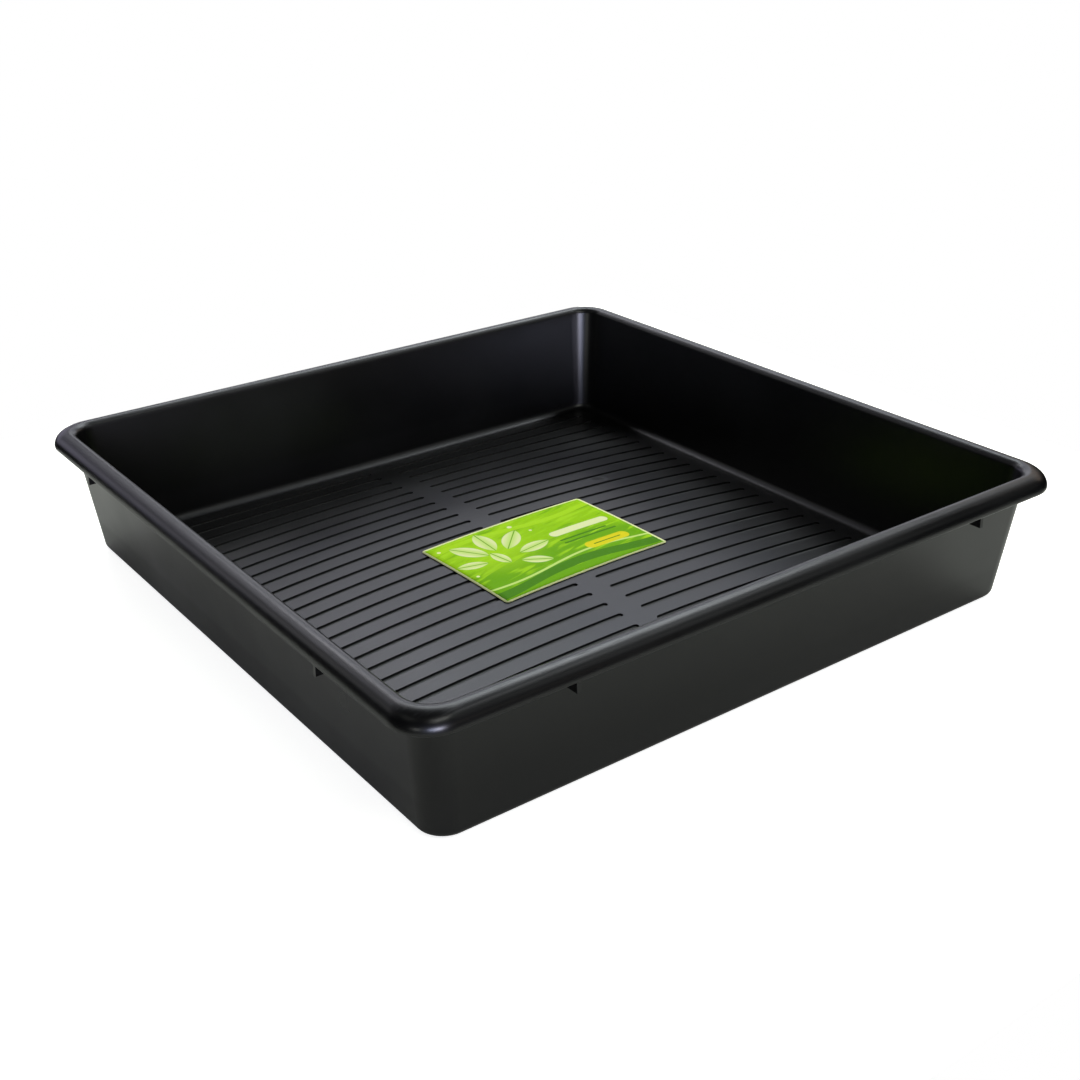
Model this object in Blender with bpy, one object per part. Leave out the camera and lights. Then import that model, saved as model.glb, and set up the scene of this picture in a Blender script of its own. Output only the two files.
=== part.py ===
"""Square watering tray: a black moulding with a rolled rim and a grooved floor, and a printed card on it.

Metres, +Z up. The origin is in the middle of the surface that the tray stands on.
"""
import math

import bmesh
import bpy
from mathutils import Matrix, Vector

# Overall size, across the outer edge of the rolled rim
TRAY_WIDTH = 0.600
TRAY_HEIGHT = 0.110

# The moulded shell
SHELL = 0.003
WALL_LEAN = 0.109
FOOT_RADIUS = 0.007
BASE_CORNER_RADIUS = 0.0195
RIM_CORNER_RADIUS = 0.030
CORNER_STEPS = 8

# The rolled rim: from its crest it falls in a quarter of an ellipse to an upright edge with a round lip
RIM_INNER_RADIUS = 0.006
RIM_REACH = 0.0112
LIP_DROP = 0.0138
LIP_TIP_RADIUS = SHELL / 2

# Faces along each curve of the section
HEEL_STEPS = 5
CREST_STEPS = 4
SHOULDER_STEPS = 9
LIP_TIP_STEPS = 4

# The floor rises to the middle, so water runs to the walls and the tray stands on its outer ring alone
FLOOR_CROWN = 0.0165
FOOT_RING = 0.010
UNDERSIDE_STEPS = 6

# Two banks of round-ended grooves, with a plain strip between them
GROOVES_EACH_SIDE = 13
GROOVE_WIDTH = 0.005
GROOVE_DEPTH = 0.0016
GROOVE_DRAFT = 0.0007
STRIP_WIDTH = 0.019
PLAIN_MARGIN = 0.0185
GROOVE_STEPS = 7

# Upright webs under the rim, which keep stacked trays apart
WEB_FROM_FRONT_CORNER = 0.1195
WEB_FROM_SIDE_CORNER = 0.097
WEB_THICKNESS = 0.003
WEB_REACH_BELOW_LIP = 0.008
WEB_OVERLAP = 0.0012
WEB_SETBACK = 0.001

# The printed card
CARD_LENGTH = 0.173
CARD_WIDTH = 0.119
CARD_THICKNESS = 0.0006
CARD_CORNER_RADIUS = 0.003
CARD_CENTRE = (0.011, -0.0055)
CARD_TURN = math.radians(2.3)
CARD_STEPS = (8, 6)
SEATING_GAP = 0.0003

BLACK = (0.022, 0.022, 0.024, 1.0)
CARD_GREEN = (0.32, 0.55, 0.06, 1.0)
SMOOTH_ANGLE = math.radians(32)
SNAP = 1e-5

# Sizes that follow from the ones above
RIM_HALF = TRAY_WIDTH / 2
CREST_HALF = RIM_HALF - RIM_REACH
BASE_HALF = CREST_HALF - RIM_INNER_RADIUS + SHELL - WALL_LEAN * (TRAY_HEIGHT - RIM_INNER_RADIUS)
LEAN_ANGLE = math.atan(WALL_LEAN)
HEEL_RADIUS = FOOT_RADIUS - SHELL
HEEL_HALF = BASE_HALF + WALL_LEAN * FOOT_RADIUS - FOOT_RADIUS / math.cos(LEAN_ANGLE)
LIP_LEVEL = TRAY_HEIGHT - LIP_DROP
NOSE_LEVEL = LIP_LEVEL + LIP_TIP_RADIUS
GROOVE_OUTER_END = HEEL_HALF - PLAIN_MARGIN
GROOVE_PITCH = GROOVE_OUTER_END / GROOVES_EACH_SIDE


def remove_everything():
    for old in list(bpy.data.objects):
        bpy.data.objects.remove(old, do_unlink=True)


def plastic(name, colour, roughness):
    material = bpy.data.materials.new(name)
    material.use_nodes = True
    shader = material.node_tree.nodes["Principled BSDF"]
    shader.inputs["Base Color"].default_value = colour
    shader.inputs["Roughness"].default_value = roughness
    shader.inputs["Metallic"].default_value = 0.0
    return material


def wall_half(level):
    """Half the tray's width across the outer faces of its leaning walls, at one level."""
    return BASE_HALF + WALL_LEAN * level


def corner_radius(half):
    """Plan radius of the outer skin's corners: it grows steadily from the base to the rim."""
    share = (half - BASE_HALF) / (RIM_HALF - BASE_HALF)
    return BASE_CORNER_RADIUS + (RIM_CORNER_RADIUS - BASE_CORNER_RADIUS) * share


def arc(centre_half, centre_level, radius, start, end, steps):
    """Points of an arc in the wall's section, as (half width, level)."""
    points = []
    for step in range(steps + 1):
        angle = math.radians(start + (end - start) * step / steps)
        points.append((centre_half + radius * math.cos(angle), centre_level + radius * math.sin(angle)))
    return points


def rim_curve(inset):
    """The rim from its crest down to its nose, a depth inside its outer skin, as (half width, level)."""
    curve = []
    for step in range(SHOULDER_STEPS + 1):
        angle = math.radians(90 * step / SHOULDER_STEPS)
        half = CREST_HALF + (RIM_REACH - inset) * math.sin(angle)
        curve.append((half, NOSE_LEVEL + (TRAY_HEIGHT - NOSE_LEVEL - inset) * math.cos(angle)))
    return curve


def wall_section():
    """The shell's section from the floor's edge, up inside, over the rim and down outside to the foot ring.

    Each point is (half width, level, depth below the outer skin). The curve between floor and wall has one
    centre for both skins, so the shell keeps its thickness.
    """
    lean = math.degrees(LEAN_ANGLE)
    crest_level = TRAY_HEIGHT - RIM_INNER_RADIUS
    tip_half, tip_level = rim_curve(LIP_TIP_RADIUS)[-1]
    inside = arc(HEEL_HALF, FOOT_RADIUS, HEEL_RADIUS, -90, -lean, HEEL_STEPS)
    inside += arc(CREST_HALF, crest_level, RIM_INNER_RADIUS, 180 - lean, 90, CREST_STEPS)
    over = rim_curve(0)[1:]
    over += arc(tip_half, tip_level, LIP_TIP_RADIUS, 0, -180, LIP_TIP_STEPS)[1:-1]
    under = rim_curve(SHELL)[::-1]
    under += arc(CREST_HALF, crest_level, RIM_INNER_RADIUS - SHELL, 90, 180 - lean, CREST_STEPS)[1:]
    outside = arc(HEEL_HALF, FOOT_RADIUS, FOOT_RADIUS, -lean, -90, HEEL_STEPS)
    outside.append((HEEL_HALF - FOOT_RING, 0.0))
    section = [(half, level, SHELL) for half, level in inside]
    section += [(half, level, 0.0) for half, level in over]
    section += [(half, level, SHELL) for half, level in under]
    section += [(half, level, 0.0) for half, level in outside]
    return section


def square_ring(bm, half, level, depth):
    """One level loop of the tray: a square with rounded corners, anticlockwise from above."""
    radius = corner_radius(half + depth) - depth
    centre = half - radius
    ring = []
    for quarter, (turn_x, turn_y) in enumerate(((1, 1), (-1, 1), (-1, -1), (1, -1))):
        for step in range(CORNER_STEPS + 1):
            angle = math.radians(90 * (quarter + step / CORNER_STEPS))
            x = turn_x * centre + radius * math.cos(angle)
            y = turn_y * centre + radius * math.sin(angle)
            ring.append(bm.verts.new((x, y, level)))
    return ring


def ring_edges(bm, ring):
    return [bm.edges.new(pair) for pair in zip(ring, ring[1:] + ring[:1])]


def lofted_shell(bm):
    """Joins rings along the section into a shell, and closes floor and underside with one face each."""
    rings = [square_ring(bm, *point) for point in wall_section()]
    loops = [ring_edges(bm, ring) for ring in rings]
    for lower, upper in zip(loops, loops[1:]):
        bmesh.ops.bridge_loops(bm, edges=lower + upper)
    floor = bm.faces.new(rings[0])
    underside = bm.faces.new(list(reversed(rings[-1])))
    bmesh.ops.recalc_face_normals(bm, faces=bm.faces[:])
    return floor, underside


def cut_into_grid(bm, patch, mark, x_lines, y_lines):
    """Cuts the marked faces along lines of constant x and y."""
    for lines, normal in ((x_lines, (1, 0, 0)), (y_lines, (0, 1, 0))):
        for line in lines:
            faces = [face for face in bm.faces if face[patch] == mark]
            edges = {edge for face in faces for edge in face.edges}
            verts = {vert for face in faces for vert in face.verts}
            place = Vector(normal) * line
            everything = list(verts) + list(edges) + faces
            bmesh.ops.bisect_plane(bm, geom=everything, dist=SNAP, plane_co=place, plane_no=normal)
    return [face for face in bm.faces if face[patch] == mark]


def groove_rows():
    return [GROOVE_PITCH * row for row in range(-GROOVES_EACH_SIDE, GROOVES_EACH_SIDE + 1)]


def groove_columns():
    """Cuts across the grooves: their ends, where the round ends start, and steps that follow the dome."""
    inner = STRIP_WIDTH / 2
    start = inner + GROOVE_WIDTH / 2
    end = GROOVE_OUTER_END - GROOVE_WIDTH / 2
    columns = [inner, GROOVE_OUTER_END]
    columns += [start + (end - start) * step / GROOVE_STEPS for step in range(GROOVE_STEPS + 1)]
    return sorted([-column for column in columns] + columns)


def round_the_ends(faces):
    """Moves each groove's end corners onto a half circle."""
    reach = GROOVE_WIDTH / 2
    corner = reach * math.cos(math.radians(45))
    rows = groove_rows()
    for vert in {vert for face in faces for vert in face.verts}:
        for end, way in ((STRIP_WIDTH / 2, -1), (GROOVE_OUTER_END, 1)):
            if abs(abs(vert.co.x) - end) > SNAP:
                continue
            row = min(rows, key=lambda y: abs(y - vert.co.y))
            if abs(abs(vert.co.y - row) - reach) > SNAP:
                continue
            side = math.copysign(1, vert.co.x)
            vert.co.x = side * (end - way * (reach - corner))
            vert.co.y = row + math.copysign(corner, vert.co.y - row)


def in_a_groove(face):
    middle = face.calc_center_median()
    row = min(groove_rows(), key=lambda y: abs(y - middle.y))
    across = abs(middle.y - row) < GROOVE_WIDTH / 2
    return across and STRIP_WIDTH / 2 < abs(middle.x) < GROOVE_OUTER_END


def crown(x, y, half):
    """Height of the domed floor over its edge, where half is half the floor's width."""
    return FLOOR_CROWN * max(1 - (x / half) ** 2, 0) * max(1 - (y / half) ** 2, 0)


def raise_to_crown(faces, half):
    for vert in {vert for face in faces for vert in face.verts}:
        vert.co.z += crown(vert.co.x, vert.co.y, half)


def grooved_floor(bm, patch):
    """Cuts the floor along the grooves, sinks them with a little draft, and domes the whole floor."""
    reach = GROOVE_WIDTH / 2
    y_lines = [row + offset for row in groove_rows() for offset in (-reach, 0, reach)]
    faces = cut_into_grid(bm, patch, 1, groove_columns(), y_lines)
    round_the_ends(faces)
    grooves = [face for face in faces if in_a_groove(face)]
    sides = bmesh.ops.inset_region(bm, faces=grooves, thickness=GROOVE_DRAFT, depth=-GROOVE_DEPTH,
                                   use_even_offset=True)
    raise_to_crown(set(faces) | set(grooves) | set(sides["faces"]), HEEL_HALF)


def domed_underside(bm, patch):
    """The underside follows the floor, inside the flat ring that the tray stands on."""
    half = HEEL_HALF - FOOT_RING
    lines = [half * step / UNDERSIDE_STEPS for step in range(1 - UNDERSIDE_STEPS, UNDERSIDE_STEPS)]
    faces = cut_into_grid(bm, patch, 2, lines, lines)
    raise_to_crown(faces, half)


def stacking_web(bm, side, place):
    """One web: an upright plate from the leaning wall out to the lip, which it passes below."""
    low = LIP_LEVEL - WEB_REACH_BELOW_LIP
    high = TRAY_HEIGHT - SHELL / 2
    outline = [(wall_half(low) - WEB_OVERLAP, low), (RIM_HALF - WEB_SETBACK, low)]
    outline += rim_curve(SHELL / 2)[::-1]
    outline.append((wall_half(high) - WEB_OVERLAP, high))
    corners = [bm.verts.new((place - WEB_THICKNESS / 2, -half, level)) for half, level in outline]
    plate = bm.faces.new(corners)
    grown = bmesh.ops.extrude_face_region(bm, geom=[plate])["geom"]
    far_corners = [item for item in grown if isinstance(item, bmesh.types.BMVert)]
    bmesh.ops.translate(bm, verts=far_corners, vec=(WEB_THICKNESS, 0, 0))
    turn = Matrix.Rotation(math.radians(90 * side), 3, "Z")
    bmesh.ops.rotate(bm, verts=corners + far_corners, cent=(0, 0, 0), matrix=turn)


def stacking_webs():
    """Two webs on each side, as one guide object that the tray takes in by a join.

    They stand nearer to the corners at the two sides than to the corners in front and behind.
    """
    mesh = bpy.data.meshes.new("stacking_webs")
    bm = bmesh.new()
    for side in range(4):
        ends = (WEB_FROM_FRONT_CORNER, WEB_FROM_SIDE_CORNER)
        first, last = ends if side % 2 == 0 else reversed(ends)
        for place in (first - RIM_HALF, RIM_HALF - last):
            stacking_web(bm, side, place)
    bmesh.ops.recalc_face_normals(bm, faces=bm.faces[:])
    bm.to_mesh(mesh)
    bm.free()
    guide = bpy.data.objects.new("stacking_webs", mesh)
    bpy.context.collection.objects.link(guide)
    guide.hide_render = True
    guide.display_type = "WIRE"
    return guide


def tray_moulding():
    mesh = bpy.data.meshes.new("tray_moulding")
    bm = bmesh.new()
    patch = bm.faces.layers.int.new("patch")
    floor, underside = lofted_shell(bm)
    floor[patch] = 1
    underside[patch] = 2
    grooved_floor(bm, patch)
    domed_underside(bm, patch)
    bm.to_mesh(mesh)
    bm.free()
    mesh.shade_smooth()
    mesh.set_sharp_from_angle(angle=SMOOTH_ANGLE)
    tray = bpy.data.objects.new("tray_moulding", mesh)
    bpy.context.collection.objects.link(tray)
    mesh.materials.append(plastic("black plastic", BLACK, 0.38))
    join = tray.modifiers.new("webs", "BOOLEAN")
    join.operation = "UNION"
    join.solver = "EXACT"
    join.object = stacking_webs()
    return tray


def printed_card():
    """A thin card that lies on the domed floor, over the plain strip and the grooves beside it."""
    mesh = bpy.data.meshes.new("printed_card")
    bm = bmesh.new()
    patch = bm.faces.layers.int.new("patch")
    bmesh.ops.create_grid(bm, x_segments=1, y_segments=1, size=0.5)
    for vert in bm.verts:
        vert.co.x *= CARD_LENGTH
        vert.co.y *= CARD_WIDTH
    bmesh.ops.bevel(bm, geom=bm.verts[:], offset=CARD_CORNER_RADIUS, offset_type="OFFSET", segments=3,
                    profile=0.5, affect="VERTICES", material=-1)
    bm.faces.ensure_lookup_table()
    bm.faces[0][patch] = 1
    x_lines = [CARD_LENGTH * (step / CARD_STEPS[0] - 0.5) for step in range(1, CARD_STEPS[0])]
    y_lines = [CARD_WIDTH * (step / CARD_STEPS[1] - 0.5) for step in range(1, CARD_STEPS[1])]
    cut_into_grid(bm, patch, 1, x_lines, y_lines)
    bmesh.ops.rotate(bm, verts=bm.verts[:], cent=(0, 0, 0), matrix=Matrix.Rotation(CARD_TURN, 3, "Z"))
    bmesh.ops.translate(bm, verts=bm.verts[:], vec=(*CARD_CENTRE, SHELL + SEATING_GAP))
    raise_to_crown(bm.faces[:], HEEL_HALF)
    bm.to_mesh(mesh)
    bm.free()
    mesh.shade_smooth()
    card = bpy.data.objects.new("printed_card", mesh)
    bpy.context.collection.objects.link(card)
    mesh.materials.append(plastic("printed card", CARD_GREEN, 0.3))
    thickness = card.modifiers.new("thickness", "SOLIDIFY")
    thickness.thickness = CARD_THICKNESS
    thickness.offset = 1
    return card


remove_everything()
tray_moulding()
printed_card()
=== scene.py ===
import math

import bmesh
import bpy
from mathutils import Matrix, Vector


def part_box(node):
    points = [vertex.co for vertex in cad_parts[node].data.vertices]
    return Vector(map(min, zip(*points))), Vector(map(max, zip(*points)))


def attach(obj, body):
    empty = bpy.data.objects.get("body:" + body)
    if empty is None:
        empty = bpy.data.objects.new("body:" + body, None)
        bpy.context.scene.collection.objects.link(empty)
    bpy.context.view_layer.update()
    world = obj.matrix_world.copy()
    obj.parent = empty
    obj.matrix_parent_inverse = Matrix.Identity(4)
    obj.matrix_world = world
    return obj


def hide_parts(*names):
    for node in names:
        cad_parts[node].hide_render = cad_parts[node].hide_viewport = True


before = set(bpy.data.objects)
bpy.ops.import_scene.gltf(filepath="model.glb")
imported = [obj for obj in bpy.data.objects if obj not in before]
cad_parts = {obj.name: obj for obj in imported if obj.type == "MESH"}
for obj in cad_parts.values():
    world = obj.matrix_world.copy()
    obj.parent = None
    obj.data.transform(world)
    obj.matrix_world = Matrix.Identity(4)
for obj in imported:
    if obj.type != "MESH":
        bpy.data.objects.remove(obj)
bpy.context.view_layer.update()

# Tray. One injection moulding of black polypropylene: leaning walls, a rim that rolls out and turns down, and
# a floor that rises to the middle. Two banks of round-ended grooves carry water under the pots, and small
# upright webs under the rim keep stacked trays apart.
tray_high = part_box("tray_moulding")[1]
rim_half = tray_high.x
tray_height = tray_high.z
skin = 0.003
wall_lean = 0.109
foot_radius = 0.007
floor_fillet = 0.008
base_corner_radius = 0.0195
rim_corner_radius = 0.030
corner_segments = 14

rim_inner_radius = 0.006
rim_reach = 0.0112
lip_drop = 0.0138
lip_tip_radius = skin / 2
rim_steps = 16
fillet_steps = 12
crest_steps = 9
inner_crest_steps = 5
tip_steps = 6
heel_steps = 10

crest_half = rim_half - rim_reach
base_half = crest_half - rim_inner_radius + skin - wall_lean * (tray_height - rim_inner_radius)
lean_angle = math.atan(wall_lean)
heel_half = base_half + wall_lean * foot_radius - foot_radius / math.cos(lean_angle)
fillet_level = skin + floor_fillet
floor_half = base_half + wall_lean * fillet_level - fillet_level / math.cos(lean_angle)
lip_level = tray_height - lip_drop
nose_level = lip_level + lip_tip_radius

floor_crown = 0.0165
foot_ring = 0.010
underside_steps = 12

grooves_each_side = 13
groove_width = 0.005
strip_width = 0.019
plain_margin = 0.0185
groove_outer_end = heel_half - plain_margin
groove_pitch = groove_outer_end / grooves_each_side
groove_steps = 22
groove_sinks = ((0.0004, 0.0013), (0.00015, 0.0003))
groove_shoulder = 0.0005
floor_mark = 1
underside_mark = 2
snap = 1e-5

web_from_front_corner = 0.1195
web_from_side_corner = 0.097
web_thickness = 0.003
web_reach_below_lip = 0.008
web_overlap = 0.0012
web_setback = 0.001

smudge_middle = (0.144, 0.089, 0)
smudge_turn = (0, 0, -0.5)
smudge_size = (0.011, 0.006, 1)
rim_wear_depth = 0.004
foot_wear_height = 0.006
full_wear = 0.0005
scratch_turn = (0.2, 0.1, 0.5)
scratch_scale = (40, 900, 300)
grain_depth = 0.00004
ripple_depth = 0.0002
satin_roughness = 0.27
dull_roughness = 0.42
floor_dulling = 0.04
groove_bottom_dulling = 0.2
smudge_dulling = 0.45
cool_black = (0.0010, 0.0010, 0.0012, 1)
warm_black = (0.0020, 0.0020, 0.0018, 1)
worn_grey = (0.008, 0.008, 0.008, 1)
# Painted light: a lighter grey that lightens the shade in the groove bottoms.
painted_groove_light_grey = (0.030, 0.030, 0.029, 1)


def wall_half(level):
    """Half the tray's width across the outer faces of its leaning walls."""
    return base_half + wall_lean * level


def arc(centre_half, centre_level, radius, start, end, steps):
    """Points along an arc of the wall's section, as (half width, level)."""
    angles = [math.radians(start + (end - start) * step / steps) for step in range(steps + 1)]
    return [(centre_half + radius * math.cos(a), centre_level + radius * math.sin(a)) for a in angles]


def rim_curve(inset):
    """The rolled rim from its crest to its nose, this far inside its outer skin, as (half width, level)."""
    reach = rim_reach - inset
    drop = tray_height - nose_level - inset
    return [(crest_half + reach * math.sin(a), nose_level + drop * math.cos(a))
            for a in (math.radians(90 * step / rim_steps) for step in range(rim_steps + 1))]


def wall_section():
    """The skin from the floor's edge up inside, over the rim and down outside.

    A point is (half width, level, depth), and depth is how far it lies inside the outer skin.
    """
    lean = math.degrees(lean_angle)
    crest_level = tray_height - rim_inner_radius
    inside = arc(floor_half, fillet_level, floor_fillet, -90, -lean, fillet_steps)
    inside += arc(crest_half, crest_level, rim_inner_radius, 180 - lean, 90, crest_steps)
    over = rim_curve(0)[1:]
    tip_half, tip_level = rim_curve(lip_tip_radius)[-1]
    over += arc(tip_half, tip_level, lip_tip_radius, 0, -180, tip_steps)[1:-1]
    under = rim_curve(skin)[::-1]
    under += arc(crest_half, crest_level, rim_inner_radius - skin, 90, 180 - lean, inner_crest_steps)[1:]
    outside = arc(heel_half, foot_radius, foot_radius, -lean, -90, heel_steps)
    outside.append((heel_half - foot_ring, 0.0))
    section = [(half, level, skin) for half, level in inside]
    section += [(half, level, 0.0) for half, level in over]
    section += [(half, level, skin) for half, level in under]
    section += [(half, level, 0.0) for half, level in outside]
    return section


def rounded_square(bm, half, level, depth):
    """One level loop: a square whose corners are rounded. Its radius grows from the base to the rim."""
    share = (half + depth - base_half) / (rim_half - base_half)
    radius = base_corner_radius + (rim_corner_radius - base_corner_radius) * share - depth
    square = bmesh.ops.create_grid(bm, x_segments=1, y_segments=1, size=half)["verts"]
    bmesh.ops.translate(bm, verts=square, vec=(0, 0, level))
    rounded = bmesh.ops.bevel(bm, geom=square, offset=radius, offset_type="OFFSET", segments=corner_segments,
                              profile=0.5, affect="VERTICES", material=-1)
    face = rounded["verts"][0].link_faces[0]
    edges = list(face.edges)
    bmesh.ops.delete(bm, geom=[face], context="FACES_ONLY")
    return edges


def cut_lines(bm, patch, mark, x_lines, y_lines):
    """Cuts the marked faces along lines of constant x and y."""
    for lines, normal in ((x_lines, (1, 0, 0)), (y_lines, (0, 1, 0))):
        for line in lines:
            faces = [face for face in bm.faces if face[patch] == mark]
            edges = {edge for face in faces for edge in face.edges}
            verts = {vert for face in faces for vert in face.verts}
            bmesh.ops.bisect_plane(bm, geom=list(verts) + list(edges) + faces, dist=snap,
                                   plane_co=Vector(normal) * line, plane_no=normal)
    return [face for face in bm.faces if face[patch] == mark]


def nearest_row(y):
    """The middle line of the groove that lies nearest."""
    row = max(-grooves_each_side, min(grooves_each_side, round(y / groove_pitch)))
    return row * groove_pitch


def crown(x, y, half):
    """Height of the domed floor over its edge."""
    return floor_crown * max(1 - (x / half) ** 2, 0) * max(1 - (y / half) ** 2, 0)


def raise_to_crown(verts, half):
    for vert in verts:
        vert.co.z += crown(vert.co.x, vert.co.y, half)


def grooved_floor(bm, patch, mark, groove_bottom):
    """Cuts the grooves' outlines, rounds their ends, sinks them in two drafts, and domes the whole floor.

    A line close beside each groove keeps the plain floor between the grooves flat where it is shaded smooth.
    The bottoms of the grooves are marked, where the material paints light that lightens their shade.
    """
    reach = groove_width / 2
    diagonal = reach * math.cos(math.radians(45))
    start = strip_width / 2 + reach
    end = groove_outer_end - reach
    columns = [strip_width / 2 - groove_shoulder, strip_width / 2]
    columns += [groove_outer_end, groove_outer_end + groove_shoulder]
    columns += [start + (end - start) * step / groove_steps for step in range(groove_steps + 1)]
    x_lines = sorted([-column for column in columns] + [0] + columns)
    offsets = (-reach - groove_shoulder, -reach, 0, reach, reach + groove_shoulder)
    y_lines = [row * groove_pitch + offset
               for row in range(-grooves_each_side, grooves_each_side + 1) for offset in offsets]
    faces = cut_lines(bm, patch, mark, x_lines, y_lines)
    for vert in {vert for face in faces for vert in face.verts}:
        row = nearest_row(vert.co.y)
        for groove_end, way in ((strip_width / 2, -1), (groove_outer_end, 1)):
            at_end = abs(abs(vert.co.x) - groove_end) < snap
            if at_end and abs(abs(vert.co.y - row) - reach) < snap:
                vert.co.x = math.copysign(groove_end - way * (reach - diagonal), vert.co.x)
                vert.co.y = row + math.copysign(diagonal, vert.co.y - row)
    grooves = []
    for face in faces:
        middle = face.calc_center_median()
        between_ends = strip_width / 2 < abs(middle.x) < groove_outer_end
        if between_ends and abs(middle.y - nearest_row(middle.y)) < reach:
            grooves.append(face)
    sides = []
    for draft, depth in groove_sinks:
        sides += bmesh.ops.inset_region(bm, faces=grooves, thickness=draft, depth=-depth,
                                        use_even_offset=True)["faces"]
    for vert in {vert for face in grooves for vert in face.verts}:
        vert[groove_bottom] = 1.0
    raise_to_crown({vert for face in faces + sides for vert in face.verts}, floor_half)


def stacking_web(bm, side, place):
    """An upright plate from the leaning wall out to the lip, which it passes below."""
    low_level = lip_level - web_reach_below_lip
    high_level = tray_height - skin / 2
    outline = [(wall_half(low_level) - web_overlap, low_level)]
    outline.append((rim_half - web_setback, low_level))
    outline += rim_curve(skin / 2)[::-1]
    outline.append((wall_half(high_level) - web_overlap, high_level))
    corners = [bm.verts.new((place - web_thickness / 2, -half, level)) for half, level in outline]
    plate = bm.faces.new(corners)
    grown = bmesh.ops.extrude_face_region(bm, geom=[plate])["geom"]
    far_corners = [item for item in grown if isinstance(item, bmesh.types.BMVert)]
    bmesh.ops.translate(bm, verts=far_corners, vec=(web_thickness, 0, 0))
    turn = Matrix.Rotation(math.radians(90 * side), 3, "Z")
    bmesh.ops.rotate(bm, verts=corners + far_corners, cent=(0, 0, 0), matrix=turn)


def finished_piece(name, bm, material, smooth_angle):
    """Turns a bmesh into an object at the origin, smooth shaded up to the given angle."""
    mesh = bpy.data.meshes.new(name)
    bm.to_mesh(mesh)
    bm.free()
    mesh.shade_smooth()
    mesh.set_sharp_from_angle(angle=math.radians(smooth_angle))
    mesh.materials.append(material)
    piece = bpy.data.objects.new(name, mesh)
    bpy.context.collection.objects.link(piece)
    return piece


def node(tree, kind, inputs=(), **settings):
    """Adds a shader node. inputs pairs each socket's name or number with a value or with a node's output."""
    made = tree.nodes.new(kind)
    for name, value in settings.items():
        setattr(made, name, value)
    for socket, value in inputs:
        if isinstance(value, bpy.types.NodeSocket):
            tree.links.new(value, made.inputs[socket])
        else:
            made.inputs[socket].default_value = value
    return made


def new_material(name):
    """A new material, its node tree and its principled shader."""
    material = bpy.data.materials.new(name)
    material.use_nodes = True
    return material, material.node_tree, material.node_tree.nodes["Principled BSDF"]


def mixed_colour(tree, factor, first, second):
    """A colour between two, by a factor. The node's colours are its inputs 6 and 7 and its output 2."""
    inputs = ((0, factor), (6, first), (7, second))
    return node(tree, "ShaderNodeMix", inputs, data_type="RGBA").outputs[2]


def ranged(tree, value, low, high, to_low=0.0, to_high=1.0, kind="SMOOTHSTEP"):
    """A value moved from one range to another. Returns the output socket."""
    limits = (("From Min", low), ("From Max", high), ("To Min", to_low), ("To Max", to_high))
    moved = node(tree, "ShaderNodeMapRange", (("Value", value), *limits), interpolation_type=kind)
    return moved.outputs["Result"]


def noise(tree, vector, scale, detail=2.0, distortion=0.0):
    """Cloudy noise from 0 to 1. Returns the output socket."""
    inputs = (("Vector", vector), ("Scale", scale), ("Detail", detail), ("Distortion", distortion))
    return node(tree, "ShaderNodeTexNoise", inputs).outputs["Fac"]


def mapped(tree, vector, kind, location=(0, 0, 0), rotation=(0, 0, 0), scale=(1, 1, 1)):
    """A place moved, turned and stretched, or with kind TEXTURE as seen from something so placed."""
    inputs = (("Vector", vector), ("Location", location), ("Rotation", rotation), ("Scale", scale))
    return node(tree, "ShaderNodeMapping", inputs, vector_type=kind).outputs["Vector"]


def part_of(tree, vector, axis):
    return node(tree, "ShaderNodeSeparateXYZ", (("Vector", vector),)).outputs[axis]


def length_of(tree, vector):
    return node(tree, "ShaderNodeVectorMath", (("Vector", vector),), operation="LENGTH").outputs["Value"]


def calculated(tree, operation, *values):
    """A number worked out from one, two or three others. Returns the output socket."""
    return node(tree, "ShaderNodeMath", enumerate(values), operation=operation).outputs["Value"]


black, tree, shader = new_material("black_polypropylene")
place = node(tree, "ShaderNodeTexCoord").outputs["Object"]
height = part_of(tree, place, "Z")
cloud = noise(tree, place, scale=9.0, detail=3.0)
grain = noise(tree, place, scale=750.0)
ripple = noise(tree, place, scale=24.0, detail=1.0)
scratched = mapped(tree, place, "POINT", rotation=scratch_turn, scale=scratch_scale)
scratches = noise(tree, scratched, scale=1.0)
colour = mixed_colour(tree, cloud, cool_black, warm_black)
rubbed_rim = ranged(tree, height, tray_height - rim_wear_depth, tray_height - full_wear)
rubbed_foot = ranged(tree, height, foot_wear_height, full_wear)
rubbed = calculated(tree, "MAXIMUM", rubbed_rim, rubbed_foot)
worn = calculated(tree, "MULTIPLY", rubbed, ranged(tree, scratches, 0.56, 0.70))
colour = mixed_colour(tree, worn, colour, worn_grey)
# Painted light: the groove bottoms, less in places at random, are painted a lighter grey that lightens their
# shade, and they are made duller.
painted_groove_light_mask = node(tree, "ShaderNodeAttribute", attribute_name="groove_bottom").outputs["Fac"]
painted_groove_light_mask = calculated(tree, "MULTIPLY", painted_groove_light_mask, ranged(tree, cloud, 0.3, 0.7, 1.0, 0.5))
colour = mixed_colour(tree, painted_groove_light_mask, colour, painted_groove_light_grey)
smudge_place = mapped(tree, place, "TEXTURE", smudge_middle, smudge_turn, smudge_size)
flat_smudge = node(tree, "ShaderNodeVectorMath", ((0, smudge_place), (1, (1, 1, 0))), operation="MULTIPLY")
from_smudge = length_of(tree, flat_smudge.outputs["Vector"])
facing_up = part_of(tree, node(tree, "ShaderNodeTexCoord").outputs["Normal"], "Z")
smudge = calculated(tree, "MULTIPLY", ranged(tree, from_smudge, 1.0, 0.3), ranged(tree, facing_up, 0.0, 0.5))
tree.links.new(colour, shader.inputs["Base Color"])
shader.inputs["Specular IOR Level"].default_value = 0.40
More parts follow.
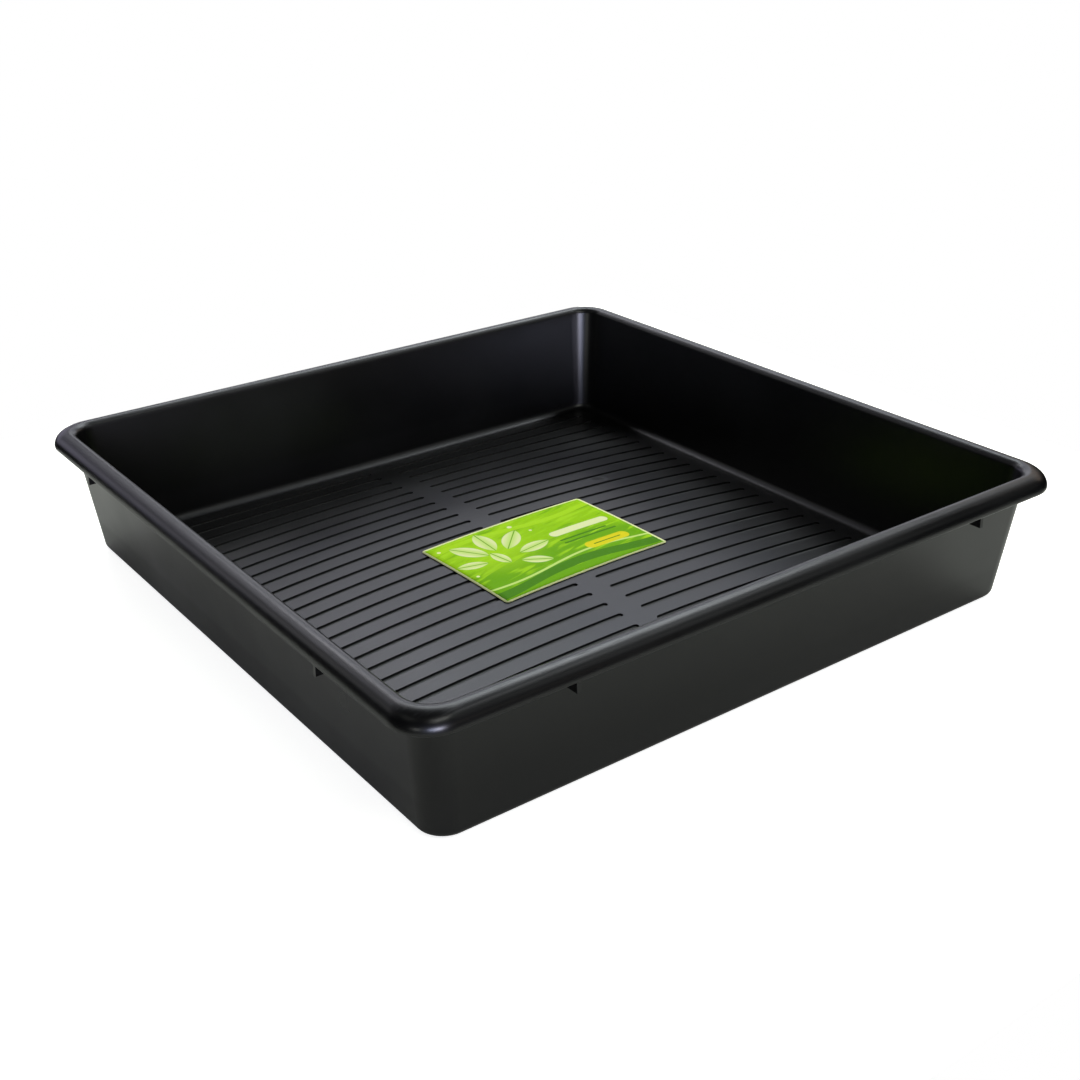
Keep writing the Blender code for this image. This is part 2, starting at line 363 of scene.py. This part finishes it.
roughness = calculated(tree, "MULTIPLY_ADD", worn, 0.6, cloud)
roughness = ranged(tree, roughness, 0.3, 0.9, satin_roughness, dull_roughness, "LINEAR")
roughness = calculated(tree, "ADD", roughness, ranged(tree, height, 0.034, 0.026, 0.0, floor_dulling))
roughness = calculated(tree, "MULTIPLY_ADD", painted_groove_light_mask, groove_bottom_dulling, roughness)
roughness = calculated(tree, "MULTIPLY_ADD", smudge, smudge_dulling, roughness)
tree.links.new(roughness, shader.inputs["Roughness"])
fine = node(tree, "ShaderNodeBump", (("Strength", 0.5), ("Distance", grain_depth), ("Height", grain)))
wavy = node(tree, "ShaderNodeBump", (("Strength", 0.3), ("Distance", ripple_depth), ("Height", ripple),
                                     ("Normal", fine.outputs["Normal"])))
tree.links.new(wavy.outputs["Normal"], shader.inputs["Normal"])

bm = bmesh.new()
patch = bm.faces.layers.int.new("patch")
groove_bottom = bm.verts.layers.float.new("groove_bottom")
loops = [rounded_square(bm, *point) for point in wall_section()]
for lower, upper in zip(loops, loops[1:]):
    bmesh.ops.bridge_loops(bm, edges=lower + upper)
floor_face = bmesh.ops.contextual_create(bm, geom=loops[0])["faces"][0]
under_face = bmesh.ops.contextual_create(bm, geom=loops[-1])["faces"][0]
bmesh.ops.recalc_face_normals(bm, faces=bm.faces[:])
floor_face[patch] = floor_mark
under_face[patch] = underside_mark
grooved_floor(bm, patch, floor_mark, groove_bottom)
under_half = heel_half - foot_ring
under_lines = [under_half * step / underside_steps for step in range(1 - underside_steps, underside_steps)]
under_faces = cut_lines(bm, patch, underside_mark, under_lines, under_lines)
raise_to_crown({vert for face in under_faces for vert in face.verts}, under_half)
shell_faces = set(bm.faces)
for side in range(4):
    ends = (web_from_front_corner, web_from_side_corner)
    first, last = ends if side % 2 == 0 else reversed(ends)
    for web_place in (first - rim_half, rim_half - last):
        stacking_web(bm, side, web_place)
bmesh.ops.recalc_face_normals(bm, faces=[face for face in bm.faces if face not in shell_faces])
tray = finished_piece("tray", bm, black, smooth_angle=35)
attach(tray, "root")
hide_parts("tray_moulding")

# Card. A printed sheet of thin card with a dull varnish, which lies loose on the domed floor, a little off
# the middle. Its generic print is a spray of leaves and some plain bars over green waves, with a pale edge.
card_length = 0.173
card_width = 0.119
card_thickness = 0.0006
card_corner_radius = 0.003
card_corner_segments = 5
card_centre = Vector((0.011, -0.0055, 0))
card_turn = math.radians(2.3)
card_steps = (24, 18)
sheet_mark = 1
seating_gap = 0.0003

border = 0.0022
border_blur_start = 0.0002
border_blur_end = 0.0006
edge_scuff = 0.0011
ink_edge = 0.0003
sweep_slant = 12
sweep_drift = 0.045
glow_middle = (-0.04, 0.012)
glow_reach = 0.052
glow_core = 0.012
lime = (0.35, 0.69, 0.0, 1)
yellow_lime = (0.46, 0.80, 0.01, 1)
leaf_green = (0.18, 0.47, 0.0, 1)
deep_green = (0.08, 0.27, 0.005, 1)
pale_green = (0.66, 0.88, 0.22, 1)
bright_yellow = (0.86, 0.76, 0.010, 1)
cream = (0.90, 0.95, 0.48, 1)
# Leaves of the spray: place of the middle, turn in degrees, and length.
leaves = (
    (-0.058, 0.030, 120, 0.038),
    (-0.037, 0.036, 84, 0.038),
    (-0.016, 0.026, 44, 0.038),
    (-0.009, 0.003, 6, 0.034),
    (-0.070, 0.008, 160, 0.028),
    (-0.022, -0.018, -34, 0.028),
    (-0.044, 0.004, 98, 0.026),
)
leaf_width_share = 0.44
midrib_half = 0.0007
# Round-ended bars and dots: place of the middle, half length, half width, and colour.
bars = (
    (0.048, -0.0255, 0.0235, 0.0062, bright_yellow),
    (0.048, -0.0255, 0.0150, 0.0008, deep_green),
    (0.043, -0.0095, 0.0290, 0.0013, deep_green),
    (0.040, -0.0035, 0.0260, 0.0013, deep_green),
    (0.046, 0.0100, 0.0320, 0.0050, cream),
    (-0.077, 0.047, 0.0019, 0.0019, cream),
    (-0.002, 0.047, 0.0024, 0.0024, cream),
    (0.008, 0.030, 0.0016, 0.0016, cream),
    (-0.078, -0.010, 0.0016, 0.0016, cream),
)
# Waves from edge to edge: height of the middle, half width, share of a wave that they are shifted, colour.
waves = (
    (0.0440, 0.0036, 0.55, yellow_lime),
    (-0.034, 0.0016, 0.10, pale_green),
    (-0.045, 0.0060, 0.22, deep_green),
    (-0.0555, 0.0045, 0.30, leaf_green),
)
wave_swing = 0.0045
wave_rate = 38
wave_edge = 0.0005


def turned_to(tree, vector, x, y, degrees):
    """The place on the print seen from a motif's own middle and direction."""
    return mapped(tree, vector, "TEXTURE", (x, y, 0), (0, 0, math.radians(degrees)))


def leaf_shape(tree, vector, length):
    """1 inside a pointed oval, which is where two circles overlap, and the distance from its midrib."""
    width = length * leaf_width_share
    radius = (length ** 2 + width ** 2) / (4 * width)
    across = calculated(tree, "ABSOLUTE", part_of(tree, vector, "Y"))
    along = part_of(tree, vector, "X")
    reach = calculated(tree, "ADD", across, radius - width / 2)
    squared = calculated(tree, "MULTIPLY_ADD", along, along, calculated(tree, "MULTIPLY", reach, reach))
    from_centre = calculated(tree, "SQRT", squared)
    return ranged(tree, from_centre, radius, radius - ink_edge), across


def bar_shape(tree, vector, half_length, half_width):
    """1 inside a bar with round ends."""
    along = calculated(tree, "ABSOLUTE", part_of(tree, vector, "X"))
    past_end = calculated(tree, "MAXIMUM", calculated(tree, "SUBTRACT", along, half_length - half_width), 0.0)
    up = part_of(tree, vector, "Y")
    squared = calculated(tree, "MULTIPLY_ADD", past_end, past_end, calculated(tree, "MULTIPLY", up, up))
    from_spine = calculated(tree, "SQRT", squared)
    return ranged(tree, from_spine, half_width, half_width - ink_edge)


print_material, tree, shader = new_material("printed_card")
place = node(tree, "ShaderNodeTexCoord").outputs["Object"]
flat_place = mapped(tree, place, "TEXTURE", card_centre, (0, 0, card_turn))
height_on_card = part_of(tree, flat_place, "Y")
along_card = part_of(tree, flat_place, "X")
slanted = turned_to(tree, flat_place, 0, 0, sweep_slant)
sweep = noise(tree, slanted, scale=14.0, detail=0.0, distortion=0.6)
wisps = noise(tree, mapped(tree, slanted, "POINT", scale=(26, 150, 1)), scale=1.0, distortion=0.4)
band = calculated(tree, "MULTIPLY_ADD", sweep, sweep_drift, height_on_card)
ground = mixed_colour(tree, ranged(tree, band, 0.010, 0.036), leaf_green, lime)
ground = mixed_colour(tree, ranged(tree, wisps, 0.50, 0.66, 0.0, 0.8), ground, yellow_lime)
ground = mixed_colour(tree, ranged(tree, wisps, 0.44, 0.30, 0.0, 0.7), ground, leaf_green)
from_glow = length_of(tree, turned_to(tree, flat_place, *glow_middle, 0))
glow = ranged(tree, from_glow, glow_reach, glow_core, 0.0, 0.75)
ground = mixed_colour(tree, glow, ground, yellow_lime)
for level, half, shift, colour in waves:
    wave = calculated(tree, "SINE", calculated(tree, "MULTIPLY_ADD", along_card, wave_rate, shift * math.tau))
    wave_middle = calculated(tree, "MULTIPLY_ADD", wave, wave_swing, level)
    off_middle = calculated(tree, "ABSOLUTE", calculated(tree, "SUBTRACT", height_on_card, wave_middle))
    ground = mixed_colour(tree, ranged(tree, off_middle, half, half - wave_edge), ground, colour)
for x, y, degrees, length in leaves:
    inside, from_midrib = leaf_shape(tree, turned_to(tree, flat_place, x, y, degrees), length)
    to_rim = ranged(tree, from_midrib, 0.0, length * leaf_width_share / 2)
    blade = mixed_colour(tree, to_rim, pale_green, cream)
    blade = mixed_colour(tree, ranged(tree, from_midrib, midrib_half, midrib_half * 0.4), blade, leaf_green)
    ground = mixed_colour(tree, inside, ground, blade)
for x, y, half_length, half_width, colour in bars:
    inside = bar_shape(tree, turned_to(tree, flat_place, x, y, 0), half_length, half_width)
    ground = mixed_colour(tree, inside, ground, colour)
edge_x = calculated(tree, "SUBTRACT", card_length / 2, calculated(tree, "ABSOLUTE", along_card))
edge_y = calculated(tree, "SUBTRACT", card_width / 2, calculated(tree, "ABSOLUTE", height_on_card))
from_edge = calculated(tree, "MINIMUM", edge_x, edge_y)
scuff = noise(tree, place, scale=420.0)
scuffed = calculated(tree, "MULTIPLY_ADD", scuff, edge_scuff, from_edge)
edge = ranged(tree, scuffed, border + border_blur_end, border + border_blur_start)
ground = mixed_colour(tree, edge, ground, cream)
tree.links.new(ground, shader.inputs["Base Color"])
shader.inputs["Specular IOR Level"].default_value = 0.06
tree.links.new(ranged(tree, scuff, 0.3, 0.7, 0.55, 0.70), shader.inputs["Roughness"])
fibre = node(tree, "ShaderNodeBump", (("Strength", 0.25), ("Distance", 0.00002), ("Height", scuff)))
tree.links.new(fibre.outputs["Normal"], shader.inputs["Normal"])

bm = bmesh.new()
patch = bm.faces.layers.int.new("patch")
bmesh.ops.create_grid(bm, x_segments=1, y_segments=1, size=0.5)
bmesh.ops.scale(bm, verts=bm.verts[:], vec=(card_length, card_width, 1))
bmesh.ops.bevel(bm, geom=bm.verts[:], offset=card_corner_radius, offset_type="OFFSET",
                segments=card_corner_segments, profile=0.5, affect="VERTICES", material=-1)
bm.faces.ensure_lookup_table()
bm.faces[0][patch] = sheet_mark
card_x_lines = [card_length * (step / card_steps[0] - 0.5) for step in range(1, card_steps[0])]
card_y_lines = [card_width * (step / card_steps[1] - 0.5) for step in range(1, card_steps[1])]
cut_lines(bm, patch, sheet_mark, card_x_lines, card_y_lines)
bmesh.ops.rotate(bm, verts=bm.verts[:], cent=(0, 0, 0), matrix=Matrix.Rotation(card_turn, 3, "Z"))
bmesh.ops.translate(bm, verts=bm.verts[:], vec=card_centre + Vector((0, 0, skin + seating_gap)))
raise_to_crown(bm.verts, floor_half)
bmesh.ops.recalc_face_normals(bm, faces=bm.faces[:])
card = finished_piece("card", bm, print_material, smooth_angle=40)
sheet = card.modifiers.new("thickness", "SOLIDIFY")
sheet.thickness = card_thickness
sheet.offset = 1
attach(card, "root")
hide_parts("printed_card")

# Floor. A sheet of matt white paper, 1.16 m wide, just under the tray's foot, so that the two faces don't
# coincide. The camera sees it as white, and the tray's soft shadow stays on it.
paper_half = 0.58
paper_gap = 0.0002
paper_glow = 0.79
paper, tree, shader = new_material("white_paper")
shader.inputs["Base Color"].default_value = (0.86, 0.87, 0.76, 1)
shader.inputs["Roughness"].default_value = 0.9
shader.inputs["Specular IOR Level"].default_value = 0.0
shader.inputs["Emission Color"].default_value = (1, 1, 1, 1)
seen = node(tree, "ShaderNodeLightPath").outputs["Is Camera Ray"]
tree.links.new(calculated(tree, "MULTIPLY", seen, paper_glow), shader.inputs["Emission Strength"])
bm = bmesh.new()
bmesh.ops.create_grid(bm, x_segments=1, y_segments=1, size=paper_half)
bmesh.ops.translate(bm, verts=bm.verts[:], vec=(0, 0, -paper_gap))
floor = finished_piece("paper_floor", bm, paper, smooth_angle=35)

# Backdrop. White to the camera, and black to every other ray, because the soft boxes light the tray.
world = bpy.data.worlds.new("studio")
world.use_nodes = True
bpy.context.scene.world = world
tree = world.node_tree
backdrop = tree.nodes["Background"]
backdrop.inputs["Color"].default_value = (1, 1, 1, 1)
seen = node(tree, "ShaderNodeLightPath").outputs["Is Camera Ray"]
tree.links.new(seen, backdrop.inputs["Strength"])

# Lamps. Soft boxes stand round the tray, 6 m from it: wide ones, most of them behind and to the right, and
# three small bright ones low beside the camera. A row gives the azimuth from +Y towards +X, the elevation,
# the half angles across and up, the brightness of the lamp's face, and its colour.
lamp_distance = 6.0
lamp_rows = (
    ("left", -37, 24, 10, 10, 0.8, (1.0, 1.0, 1.0)),
    ("back_left_low", -9, 10.5, 22, 9.5, 0.8, (1.0, 0.96, 1.25)),
    ("back_left", -7, 37, 16, 6, 2.6, (1.0, 1.0, 1.1)),
    ("back_left_high", 14, 44, 9, 5, 6.2, (1.0, 1.0, 1.05)),
    ("back_low", 38, 19, 20, 10, 1.55, (1.0, 1.01, 1.09)),
    ("back_middle", 36, 36, 18, 6, 0.6, (0.95, 0.95, 1.4)),
    ("back_high", 42, 51, 12, 8, 5.9, (0.94, 1.01, 1.05)),
    ("right_low", 81, 25, 20, 5, 1.2, (1.2, 0.97, 0.8)),
    ("right_middle", 81, 36, 18, 6, 0.5, (0.9, 1.0, 1.1)),
    ("right_high", 74, 55, 12, 8, 8.0, (0.95, 1.0, 1.04)),
    ("right_front", 126, 51, 12, 7, 2.4, (0.96, 1.0, 1.02)),
    ("right_front_low", 143, 27, 10, 10, 0.8, (0.98, 1.0, 0.98)),
    ("front_low", 168, 5.5, 19, 4.5, 0.4, (1.1, 1.0, 0.8)),
    ("front", 186, 52, 14, 7, 4.2, (1.0, 1.02, 0.96)),
    ("left_high", 275, 50, 12, 7, 0.5, (1.0, 1.02, 0.96)),
    ("camera_left", 195, 7.5, 7, 4.5, 36.0, (0.97, 0.97, 1.22)),
    ("camera_side", 209, 7.5, 7, 4.5, 16.0, (0.92, 1.01, 1.41)),
    ("camera_right", 240, 7.5, 7, 4.5, 4.5, (1.0, 1.02, 0.96)),
)
for name, azimuth, elevation, across, up, brightness, colour in lamp_rows:
    lamp = bpy.data.lights.new(name, "AREA")
    lamp.shape = "RECTANGLE"
    lamp.size = 2 * lamp_distance * math.tan(math.radians(across))
    lamp.size_y = 2 * lamp_distance * math.tan(math.radians(up))
    lamp.energy = brightness * math.pi * lamp.size * lamp.size_y
    lamp.color = colour
    box = bpy.data.objects.new(name, lamp)
    tilt = Matrix.Rotation(math.radians(elevation - 90), 4, "X")
    aim = Matrix.Rotation(math.radians(-azimuth), 4, "Z") @ tilt
    box.matrix_world = aim @ Matrix.Translation((0, 0, lamp_distance))
    box.visible_camera = False
    bpy.context.collection.objects.link(box)

# Camera. The photograph's own view, a little over the tray's front corner.
camera_data = bpy.data.cameras.new("camera")
camera_data.sensor_width = 36
camera_data.lens = 48.536
camera = bpy.data.objects.new("camera", camera_data)
bpy.context.collection.objects.link(camera)
yaw = math.radians(-36.142)
pitch = math.radians(25.735)
roll = math.radians(-0.910)
target = Vector((-0.0066, -0.0227, 0.036))
distance = 1.20814
back = Vector((math.sin(yaw) * math.cos(pitch), -math.cos(yaw) * math.cos(pitch), math.sin(pitch)))
turn = Matrix.Rotation(yaw, 4, "Z") @ Matrix.Rotation(math.pi / 2 - pitch, 4, "X")
turn = turn @ Matrix.Rotation(roll, 4, "Z")
camera.matrix_world = Matrix.Translation(target + back * distance) @ turn
camera_data.clip_start = 0.01
bpy.context.scene.camera = camera
bpy.context.scene.view_settings.view_transform = "Standard"
